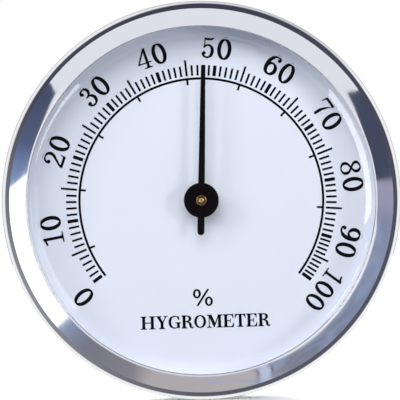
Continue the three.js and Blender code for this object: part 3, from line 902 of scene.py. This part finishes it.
# The direction of each ten's tick: the humidity scale closes up towards its ends.
TENS = (-125.5, -97.5, -69.5, -42.5, -17.5, 7.5, 32.5, 57.5, 82.5, 107.5, 127.5)
NUMERAL_SHIFT = {0: -2.3, 10: -2.1, 100: 0.5}
NUMERAL_SIZE = {0: 0.985, 100: 0.94}
NAME = "HYGROMETER"
NAME_HEIGHT = 2.37
NAME_WIDTH = 23.45
NAME_BASELINE = -23.1
NAME_MIDDLE = 0.1


def scale_direction(value):
    """The direction of a humidity from 0 to 100 on the scale."""
    tens = min(int(value // 10), len(TENS) - 2)
    return TENS[tens] + (TENS[tens + 1] - TENS[tens]) * (value / 10 - tens)


def turned_flat(loops, direction):
    """The loops turned about the dial's centre, so that their top points in the direction."""
    spin = Matrix.Rotation(-math.radians(direction), 2)
    return [[tuple(spin @ Vector(p[:2])) for p in loop] for loop in loops]


def set_text(text, font, height, gap, middle=0.0, baseline=0.0):
    """The text's loops in millimetres, centred on middle and standing on the baseline."""
    width = sum(font[c][0] for c in text) + gap * (len(text) - 1)
    x = -width / 2
    loops = []
    for character in text:
        advance, shapes = font[character]
        for shape in shapes:
            loops.append([(middle + (x + p[0]) * height, baseline + p[1] * height) for p in shape])
        x += advance + gap
    return loops


def scale_print():
    """The arc, its 101 ticks, and the short marks inside it at the fives."""
    loops = []
    overrun = 1.0
    first = TENS[0] - overrun
    span = TENS[-1] + overrun - first
    steps = 240
    inner = ARC_RADIUS - ARC_WIDTH / 2
    outer = ARC_RADIUS + ARC_WIDTH / 2
    for i in range(steps):
        here = first + span * i / steps
        there = first + span * (i + 1) / steps
        loops.append([clock(here, inner), clock(there, inner), clock(there, outer), clock(here, outer)])
    for value in range(101):
        width = TENS_WIDTH if value % 10 == 0 else TICK_WIDTH
        top = FIVES_OUTER if value % 10 == 5 else TICK_OUTER
        marks = bar(-width / 2, width / 2, TICK_INNER, top)
        if value % 10 == 5 and value != 95:
            marks += bar(-width / 2, width / 2, FIVES_MARK_INNER, ARC_RADIUS)
        loops += turned_flat(marks, scale_direction(value))
    return loops


def numeral_print():
    loops = []
    for value in range(0, 101, 10):
        direction = scale_direction(value) + NUMERAL_SHIFT.get(value, 0)
        height = NUMERAL_HEIGHT * NUMERAL_SIZE.get(value, 1)
        numeral = set_text(str(value), DIGITS, height, NUMERAL_GAP, baseline=NUMERAL_BASELINE)
        loops += turned_flat(numeral, direction)
    return loops


def percent_print():
    """A percent sign: two rings and a slanting stroke."""
    middle = (-0.24, -17.57)
    ring_nib = (0.21, 0.155)
    rings = ((-1.06, 0.69), (1.07, -0.73))
    loops = []
    for x, z in rings:
        loops += oval((middle[0] + x, middle[1] + z), 0.52, 0.70, ring_nib)
    low = (middle[0] - 0.96, middle[1] - 1.43)
    high = (middle[0] + 0.96, middle[1] + 1.43)
    return loops + pen([low, high], (0.2, 0.13))


def name_print():
    widths = sum(LETTERS[c][0] for c in NAME)
    gap = (NAME_WIDTH / NAME_HEIGHT - widths) / (len(NAME) - 1)
    return set_text(NAME, LETTERS, NAME_HEIGHT, gap, middle=NAME_MIDDLE, baseline=NAME_BASELINE)


def ink(name, loops):
    """Ink as a thin solid film that grips the dial's face."""
    face = reach("dial_plate").front
    film = 0.02
    bm = slab(*filled(loops), face - film, face + film / 4)
    piece = add_mesh(name, bm)
    piece.data.materials.append(INK)
    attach(piece, "root")
    return piece


# ---- Pointer


def pointer():
    sheet = reach("pointer")
    rest = 2.5
    length = 24.4
    root_half = 0.6
    tip_half = 0.4
    tail_half = 0.635
    tail_end = 6.3
    hub = 3.15
    neck = 0.77
    crown = 0.14
    hub_lift = 0.05
    boss_lift = 0.1
    root_angle = math.degrees(math.asin(root_half / hub))
    tail_angle = math.degrees(math.asin(tail_half / hub))
    right = flat_arc((0, 0), hub, root_angle, 180 - tail_angle, 40)
    end = flat_arc((0, tail_half - tail_end), tail_half, 90, 270, 12)
    left = [(-x, z) for x, z in right[::-1]]
    # The tip is sheared, so its two corners aren't quite alike.
    tip = [
        (-tip_half, length - 0.15), (-tip_half + 0.15, length),
        (tip_half - 0.2, length + 0.02), (tip_half, length - 0.12),
    ]
    outline = [*tip, *right, *end, *left]
    hub_step = hub - 0.45
    boss_step = neck + 0.55
    crease = [(0, hub - 0.35), (0, length - 0.5)]
    lines = [crease]
    for radius, facets in ((hub_step, 64), (boss_step, 48)):
        ring = circle(radius, facets=facets)
        lines.append([*ring, ring[0]])
    bm = slab(*filled([outline], [circle(neck, facets=40)], lines), sheet.front, sheet.back)
    bevel_sharp(bm, 0.05, 60)
    for vert in bm.verts:
        x, y, z = vert.co
        if y > sheet.front + 1e-4:
            continue
        distance = math.hypot(x, z)
        if abs(x) < 1e-3 and z > hub - 0.4:
            vert.co.y -= crown
        elif abs(distance - hub_step) < 1e-2:
            vert.co.y -= hub_lift
        elif abs(distance - boss_step) < 1e-2 or distance < neck + 0.1:
            vert.co.y -= boss_lift
    bmesh.ops.rotate(bm, verts=bm.verts, matrix=Matrix.Rotation(math.radians(rest), 3, "Y"))
    return stand_for(add_mesh("pointer_stamping", bm, 50), "pointer")


# Where the arbor steps down to the width of its tip.
ARBOR_SHOULDER = -4.5


def ferrule():
    head = reach("pointer_collet")
    sheet = reach("pointer")
    bore = 0.47
    lower_bore = 0.62
    dish = 0.17
    neck = 0.75
    rim = 0.95
    rim_back = sheet.front - 0.1
    outline = [
        (bore, head.front + dish, 0.03), (neck + 0.01, head.front, 0.05), (rim, head.front, 0.08),
        (rim, rim_back, 0.03), (neck, rim_back), (neck, sheet.back), (head.right, sheet.back, 0.05),
        (head.right, head.back, 0.15), (lower_bore, head.back, 0.03),
        (lower_bore, ARBOR_SHOULDER), (bore, ARBOR_SHOULDER),
    ]
    return stand_for(turned("ferrule_turning", outline, 64), "pointer_collet")


def arbor():
    shaft = reach("arbor")
    tip = 0.45
    crown = 1.2
    pivot = 0.35
    pivot_front = 7.5
    crown_edge = math.degrees(math.asin(tip / crown))
    outline = [
        *arc((0, shaft.front + crown), crown, 0, crown_edge, 8),
        (tip, ARBOR_SHOULDER), (shaft.right, ARBOR_SHOULDER, 0.05),
        (shaft.right, pivot_front, 0.08), (pivot, pivot_front, 0.04),
        (pivot, shaft.back, 0.12), (0, shaft.back),
    ]
    return stand_for(turned("arbor_turning", outline, 48), "arbor")


# ---- Case

# How far from the axis the screws' posts stand, either side of it.
POST_X = 18


def vent(turn):
    """A cutter for one round-ended slot of the case's back."""
    half = 1.2
    inner = 12 + half
    outer = 24 - half
    slot = flat_arc((0, outer), half, 90, -90, 10) + flat_arc((0, inner), half, -90, -270, 10)
    back = reach("case").back
    return add_mesh("vent", slab(*filled(turned_flat([slot], turn)), back - 3, back + 1))


def case():
    cup = reach("case")
    wall = 1.6
    radius = 30
    groove = radius - 0.4
    grip = reach("grip_ring")
    hole = 4
    ring_groove = ((8.2, 0), (8.5, 0.25), (9.0, 0.25), (9.3, 0))
    inner_back = cup.back - wall
    flange_back = -SHEET
    outline = [
        (hole, cup.back, 0.3), *((across, cup.back - deep, 0.15) for across, deep in ring_groove),
        (radius, cup.back, 1.3), (radius, grip.back, 0.12), (groove, grip.back), (groove, grip.front),
        (radius, grip.front, 0.12), (radius, flange_back, 0.2), (cup.right, flange_back, 0.1),
        (cup.right, cup.front, 0.1), (radius - wall, cup.front, 0.15),
        (radius - wall, inner_back, 0.8), (hole, inner_back, 0.15),
    ]
    shell = turned("case_moulding", outline, 180)
    post = 3
    post_front = 2.4
    pilot = 1
    pilot_back = 9
    posts = [rod(post, post_front, inner_back + wall / 2, (x, 0)) for x in (-POST_X, POST_X)]
    shell = carved(shell, posts, operation="UNION")
    pilots = [rod(pilot, post_front - 1, pilot_back, (x, 0), 32) for x in (-POST_X, POST_X)]
    vents = [vent(15 + 30 * i) for i in range(12)]
    shell = carved(shell, [*pilots, *vents, *adjust_marks(cup.back)], edge=0.18)
    return stand_for(shell, "case")


def adjust_marks(back):
    """Cutters for shallow moulded marks: plus and minus either side of the adjuster's hole."""
    depth = 0.25
    near, far = 3.9, 5.3
    low, high = 4.4, 4.8
    loops = {
        "minus": bar(-far, -near, low, high),
        "plus": bar(near, far, low, high) + bar(low, high, near, far),
    }
    return [add_mesh(name, slab(*filled(shape), back - depth, back + 1)) for name, shape in loops.items()]


def grip():
    ring = reach("grip_ring")
    groove = 29.6
    valley = 30.3
    ribs = 3
    pitch = (ring.back - ring.front) / ribs
    outline = []
    for i in range(ribs):
        start = ring.front + i * pitch
        outline += [(valley, start + 0.02, 0.12), (ring.right, start + pitch / 2, 0.3)]
    outline += [(valley, ring.back, 0.12), (groove, ring.back), (groove, ring.front)]
    outline[0] = (valley, ring.front)
    return stand_for(turned("grip_moulding", outline, 180), "grip_ring")


# ---- Movement

# Radii of the holes in the sheet pieces: for screws, for a tight fit and for a running fit.
SCREW_HOLE = 1.1
TIGHT_HOLE = 2.02
RUNNING_HOLE = 2.05


def movement_plate():
    plate = reach("movement_plate")
    (corners,) = bar(plate.left, plate.right, plate.bottom, plate.top)
    outline = rounded([(*corner, 2.2) for corner in corners], 10)
    holes = [circle(TIGHT_HOLE, facets=48), *(circle(SCREW_HOLE, (x, 0), 32) for x in (-POST_X, POST_X))]
    blank = flat_piece("plate_blank", outline, plate.front, plate.back, holes, 0.1)
    return stand_for(blank, "movement_plate")


def bridge():
    strap = reach("bridge")
    thickness = 0.8
    span = 13.8
    foot_front = reach("movement_plate").back
    foot_back = foot_front + thickness
    outer_bend = 1.2
    inner_bend = 0.4
    right = [
        (span - thickness, strap.back - thickness, inner_bend),
        (span - thickness, foot_front, outer_bend), (strap.right, foot_front), (strap.right, foot_back),
        (span, foot_back, inner_bend), (span, strap.back, outer_bend),
    ]
    left = [(-corner[0], *corner[1:]) for corner in right[::-1]]
    spots, faces = filled([rounded([*right, *left])])
    half = strap.top
    bm = slab(spots, faces, -half, half, joined_flat=True)
    bmesh.ops.rotate(bm, verts=bm.verts, matrix=Matrix.Rotation(math.radians(-90), 3, "X"))
    blank = add_mesh("bridge_blank", bm)
    cutters = [rod(SCREW_HOLE, foot_front - 2, foot_back + 2, (x, 0), 32) for x in (-POST_X, POST_X)]
    cutters.insert(0, rod(RUNNING_HOLE, strap.back - 2, strap.back + 1))
    return stand_for(carved(blank, cutters, edge=0.1), "bridge")


def plate_screw(node):
    screw = reach(node)
    x = (screw.left + screw.right) / 2
    radius = (screw.right - screw.left) / 2
    seat = reach("movement_plate").front
    shank = 0.95
    point = 0.5
    outline = [
        (0, screw.front), (radius, screw.front, 0.7), (radius, seat, 0.1), (shank, seat),
        (shank, screw.back - point, 0.1), (shank - point, screw.back, 0.05), (0, screw.back),
    ]
    blank = turned(node + "_turning", outline, 48, (x, 0))
    slot_depth = 0.6
    slot_width = 0.5
    slot = block(4 * radius, slot_width, screw.front - 1, screw.front + slot_depth)
    skew = Matrix.Rotation(math.radians(35), 4, "Y")
    slot.data.transform(Matrix.Translation((x * MM, 0, 0)) @ skew)
    return stand_for(carved(blank, [slot], edge=0.04), node)


def ring_piece(name, node, inner, edge=0.08):
    """A plain turned ring with broken edges, from the inner radius out to the node's."""
    ring = reach(node)
    outline = [
        (inner, ring.front, edge), (ring.right, ring.front, edge), (ring.right, ring.back, edge),
        (inner, ring.back, edge),
    ]
    return stand_for(turned(name, outline, 64), node)


def front_bush():
    bush = reach("front_bush")
    seat = reach("movement_plate").front
    bore = 0.65
    neck = 2.0
    outline = [
        (bore, bush.front, 0.15), (bush.right, bush.front, 0.12), (bush.right, seat, 0.05),
        (neck, seat), (neck, bush.back, 0.12), (bore, bush.back, 0.1),
    ]
    return stand_for(turned("bush_turning", outline, 64), "front_bush")


# ---- Adjuster and coil


def adjuster_boss():
    boss = reach("adjuster_boss")
    head_front = reach("friction_washer").back
    journal = 2.0
    bore = 0.4
    bore_end = 9.9
    slot_depth = 1.2
    slot_width = 1.0
    outline = [
        (0, bore_end), (bore, bore_end), (bore, boss.front, 0.08), (journal, boss.front, 0.1),
        (journal, head_front), (boss.right, head_front, 0.1), (boss.right, boss.back, 0.35), (0, boss.back),
    ]
    blank = turned("boss_turning", outline, 72)
    slot = block(slot_width, 2 * boss.right + 3, boss.back - slot_depth, boss.back + 1)
    return stand_for(carved(blank, [slot], edge=0.07), "adjuster_boss")


def adjuster_arm():
    arm = reach("adjuster_arm")
    stud = reach("coil_stud")
    hub = 3.4
    end = 1.4
    stud_z = (stud.top + stud.bottom) / 2
    lean = math.degrees(math.acos((hub - end) / stud_z))
    hub_arc = flat_arc((0, 0), hub, lean, 360 - lean, 30)
    end_arc = flat_arc((0, stud_z), end, -lean, lean, 12)
    outline = hub_arc + end_arc
    holes = [circle(TIGHT_HOLE, facets=48), circle(0.72, (0, stud_z), 24)]
    return stand_for(flat_piece("arm_blank", outline, arm.front, arm.back, holes, 0.08), "adjuster_arm")


def coil_stud():
    stud = reach("coil_stud")
    radius = stud.right
    centre = (0, (stud.top + stud.bottom) / 2)
    outline = [(0, stud.front), (radius, stud.front, 0.15), (radius, stud.back, 0.1), (0, stud.back)]
    return stand_for(turned("stud_turning", outline, 32, centre), "coil_stud")


def hygro_coil():
    """The spiral strip. Each point keeps its share of the winding, from the collet out to the stud, in a
    layer named along.
    """
    strip = reach("hygro_coil")
    turns = 4.5
    half = 0.15
    inner = 1.97
    outer = 7.6
    steps = 320
    crown = 0.06
    section = [
        (half, strip.front + crown), (half, strip.back - crown), (half - crown, strip.back),
        (crown - half, strip.back), (-half, strip.back - crown), (-half, strip.front + crown),
        (crown - half, strip.front), (half - crown, strip.front),
    ]
    bm = bmesh.new()
    along = bm.verts.layers.float.new("along")
    rings = []
    for i in range(steps + 1):
        share = i / steps
        direction = 360 * turns * (1 - share)
        ring = []
        for offset, y in section:
            x, z = clock(direction, inner + (outer - inner) * share + offset)
            vert = bm.verts.new((x, y, z))
            vert[along] = share
            ring.append(vert)
        rings.append(ring)
    for near, far in zip(rings, rings[1:]):
        for i in range(len(section)):
            j = (i + 1) % len(section)
            bm.faces.new((near[i], near[j], far[j], far[i]))
    bm.faces.new(rings[0])
    bm.faces.new(rings[-1][::-1])
    piece = add_mesh("coil_strip_winding", bm)
    stand_for(piece, "hygro_coil", rides=False)
    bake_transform(piece)
    return piece


# ---- Studio


WHITE = (255, 255, 255)

# How far the dial leans to the left in the camera's view, in degrees.
LEAN = 1.7


def studio_world():
    """A white studio: what the polished rim and the window mirror, by direction round the dial's axis.

    polar is the angle from straight in front of the dial. around is degrees clockwise from the camera's
    upright, from which the dial leans a little.
    """
    world = bpy.data.worlds.new("studio")
    bpy.context.scene.world = world
    world.use_nodes = True
    tree = world.node_tree
    split = tree.nodes.new("ShaderNodeSeparateXYZ")
    tree.links.new(tree.nodes.new("ShaderNodeTexCoord").outputs["Generated"], split.inputs[0])
    x, y, z = (Value(tree, output) for output in split.outputs)
    polar = (y * -1).math("ARCCOSINE") * math.degrees(1)
    around = x.math("ARCTAN2", z) * math.degrees(1) - LEAN

    def room(stops):
        """A colour by direction round the axis."""
        turn = around.mapped(-180, 180, curve="LINEAR")
        return ramp(turn, [((a + 180) / 360, srgb(*c)) for a, c in stops])

    def box(start, end, near, far, corner, direction=around, soft=0.35):
        """How much of a round-cornered panel shows, between two directions and two polar angles."""
        across = (direction - (start + end) / 2).math("ABSOLUTE") - ((end - start) / 2 - corner)
        along = (polar - (near + far) / 2).math("ABSOLUTE") - ((far - near) / 2 - corner)
        outside = across.larger(0).math("POWER", 2) + along.larger(0).math("POWER", 2)
        distance = outside.math("SQRT") + across.larger(along).smaller(0) - corner
        return distance.mapped(-soft, soft, 1.0, 0.0)

    surround = room(
        [
            (-180, (185, 180, 184)), (-164, (183, 178, 180)), (-158, (140, 137, 146)),
            (-142, (126, 126, 140)), (-133, (140, 155, 185)), (-130, (130, 150, 190)),
            (-88, (140, 160, 202)), (-80, (120, 140, 182)), (-72, (88, 100, 132)), (-56, (74, 82, 108)),
            (54, (72, 78, 102)), (83.6, (70, 77, 98)), (84.4, (163, 160, 184)), (92, (160, 157, 182)),
            (96, (138, 145, 172)), (110, (142, 154, 182)), (128, (132, 140, 165)), (150, (130, 134, 152)),
            (156, (150, 148, 158)), (164, (190, 184, 186)), (180, (185, 180, 184)),
        ]
    )
    noise = tree.nodes.new("ShaderNodeTexNoise")
    noise.inputs["Scale"].default_value = 7
    noise.inputs["Distortion"].default_value = 1.5
    patchy = around.mapped(93, 100)
    patches = Value(tree, noise.outputs["Fac"]).mapped(0.45, 0.7, 0, 0.45) * patchy
    surround = mixed(tree, patches, surround, srgb(160, 178, 215))
    rim_dark = room(
        [
            (-180, (96, 96, 108)), (-120, (150, 151, 158)), (-60, (74, 76, 92)), (0, (66, 67, 82)),
            (180, (96, 96, 108)),
        ]
    )
    sky = room(
        [
            (-180, WHITE), (-30, (250, 250, 252)), (0, (228, 229, 234)), (30, (205, 207, 214)),
            (55, WHITE), (180, WHITE),
        ]
    )
    lip_light = room(
        [
            (-180, (225, 228, 240)), (-90, (250, 250, 255)), (-56, (244, 245, 250)), (-48, (236, 238, 245)),
            (53, (236, 238, 245)), (62, (242, 243, 250)), (120, (250, 250, 255)), (180, (225, 228, 240)),
        ]
    )
    bright = (1.7, 1.7, 1.75, 1)
    # The polar angles that the bright windows and the dark frame beside them cover.
    low, high = 22, 60
    wave = ((polar - 34.5) * 0.483).math("SINE")
    slant = around + (polar - 33) * 0.5
    rise = around.mapped(54, 67, 3.5, 0, "LINEAR") + around.mapped(-66, -53, 0, 3.5, "LINEAR") - 3.5
    lip_edge = polar - rise + around.mapped(60, 70, 0, 0.6) - around.mapped(94, 100, 0, 2.0)
    lip_edge = lip_edge + around.mapped(148, 160, 0, 1.4)
    colour = mixed(tree, box(-52.8, 54.3, 20, 40.5, 3, around - wave * 0.6), surround, srgb(236, 238, 245))
    colour = mixed(tree, box(-131.2, -100, low, high, 0.5), colour, bright)
    colour = mixed(tree, box(-112, -84, low, high, 0.5, slant) * box(-142, -72, 10, 42, 8), colour, bright)
    for start, end, shade in ((157.2, 162.4, (90, 95, 115)), (157.9, 161.7, (196, 205, 230))):
        colour = mixed(tree, box(start, end, low, high, 1, around - wave * 0.4), colour, srgb(*shade))
    colour = mixed(tree, lip_edge.mapped(28, 27), colour, lip_light)
    dark_front = polar - around.mapped(-100, -80, 0, 8) + around.mapped(-25, -5, 0, 8)
    colour = mixed(tree, dark_front.mapped(13, 11.5), colour, (0.014, 0.014, 0.018, 1))
    colour = mixed(tree, polar.mapped(46, 51), colour, rim_dark)
    side_panel = (7.4, 7.5, 7.8, 1)
    right_start = around + (polar - 48.8) * 0.37
    right_end = around + (polar - 48.8) * 1.4
    right_box = right_start.mapped(48, 48.5) * right_end.mapped(91.3, 90.7)
    colour = mixed(tree, right_box * polar.mapped(41.2, 41.8) * polar.mapped(52, 51.5), colour, side_panel)
    wedge = (polar - around.mapped(-76.7, -47.7, 46.4, 44.2, curve="LINEAR")).mapped(-0.2, 0.2)
    left_end = (around + (polar - 47) * 0.4).mapped(-46.9, -47.5)
    left_box = wedge * left_end * polar.mapped(52, 51.5) * around.mapped(-77.7, -76.7)
    colour = mixed(tree, left_box, colour, side_panel)
    sky_edge = polar - around.mapped(-25, 0, 0, 12) + around.mapped(38, 58, 0, 12)
    colour = mixed(tree, sky_edge.mapped(92, 106), colour, sky)
    colour = mixed(tree, polar.mapped(140, 150), colour, srgb(180, 180, 188))

    light_path = tree.nodes.new("ShaderNodeLightPath").outputs
    mirrored = Value(tree, light_path["Is Glossy Ray"])
    seen = Value(tree, light_path["Is Camera Ray"])
    fill = mixed(tree, polar.mapped(25, 55), (0.58, 0.607, 0.67, 1), (0.20, 0.21, 0.234, 1))
    colour = mixed(tree, mirrored, fill, colour)
    colour = mixed(tree, seen, colour, (1, 1, 1, 1))
    tree.links.new(colour, tree.nodes["Background"].inputs["Color"])


def lamp(name, polar, around, distance, size, watts):
    """A soft panel aimed at the dial that isn't mirrored: the world holds what is."""
    light = bpy.data.lights.new(name, "AREA")
    light.shape = "RECTANGLE"
    light.size, light.size_y = size
    light.energy = watts
    panel = bpy.data.objects.new(name, light)
    bpy.context.scene.collection.objects.link(panel)
    out = math.radians(polar)
    x, z = clock(around, math.sin(out))
    away = Vector((x, -math.cos(out), z))
    panel.location = away * distance
    panel.rotation_euler = away.to_track_quat("Z", "Y").to_euler()
    panel.visible_glossy = False
    panel.visible_transmission = False
    return panel


def studio():
    studio_world()
    lamp("top_panel", 37, -12, 0.50, (0.50, 0.34), 1.62)
    lamp("left_panel", 61, -62, 0.60, (0.16, 0.20), 1.0)
    lamp("right_panel", 48, 90, 0.60, (0.12, 0.22), 1.1)
    lamp("back_panel", 140, -30, 0.80, (0.6, 0.6), 4.0)
    floor_lamp = lamp("floor_panel", 90, 0, 1.2, (3.0, 2.6), 220.0)
    floor_lamp.location.y = 1.4
    half = 1500
    thickness = 5
    floor = add_mesh("floor", slab(*filled(bar(-half, half, -half, half)), 0, thickness))
    floor.data.transform(Matrix.Rotation(math.radians(90), 4, "X"))
    floor.location.z = CAD_BOX[0][2] - thickness * MM
    floor.data.materials.append(pale_floor())
    floor.visible_glossy = False
    floor.visible_diffuse = False


def camera():
    """Straight in front of the dial, turned so that the dial leans a little to the left."""
    distance = 0.65
    seen_width = 72.18 * MM
    rim_depth = -5 * MM
    aim_x = -0.235 * MM
    aim_z = 0.06 * MM
    data = bpy.data.cameras.new("camera")
    data.sensor_width = 36
    data.lens = data.sensor_width * distance / seen_width
    piece = bpy.data.objects.new("camera", data)
    bpy.context.scene.collection.objects.link(piece)
    piece.location = (aim_x, rim_depth - distance, aim_z)
    piece.rotation_euler = (math.radians(90), math.radians(LEAN), 0)
    data.clip_start = 0.01
    data.clip_end = 20
    bpy.context.scene.camera = piece


camera()
bezel()
lens()
gasket()
spacer()
dial()
ink("scale_print", scale_print())
ink("numeral_print", numeral_print())
ink("percent_print", percent_print())
ink("name_print", name_print())
pointer()
ferrule()
arbor()
case()
grip()
movement_plate()
bridge()
for screw_node in ("plate_screw_left", "plate_screw_right"):
    plate_screw(screw_node)
front_bush()
ring_piece("friction_ring", "friction_washer", 2.05, 0.06)
ring_piece("end_ring", "end_washer", 0.62, 0.06)
ring_piece("collet_turning", "coil_collet", 0.62, 0.12)
adjuster_boss()
adjuster_arm()
coil_stud()
hygro_coil()
studio()

bpy.context.scene.view_settings.view_transform = "Standard"
bpy.context.scene.view_settings.look = "None"
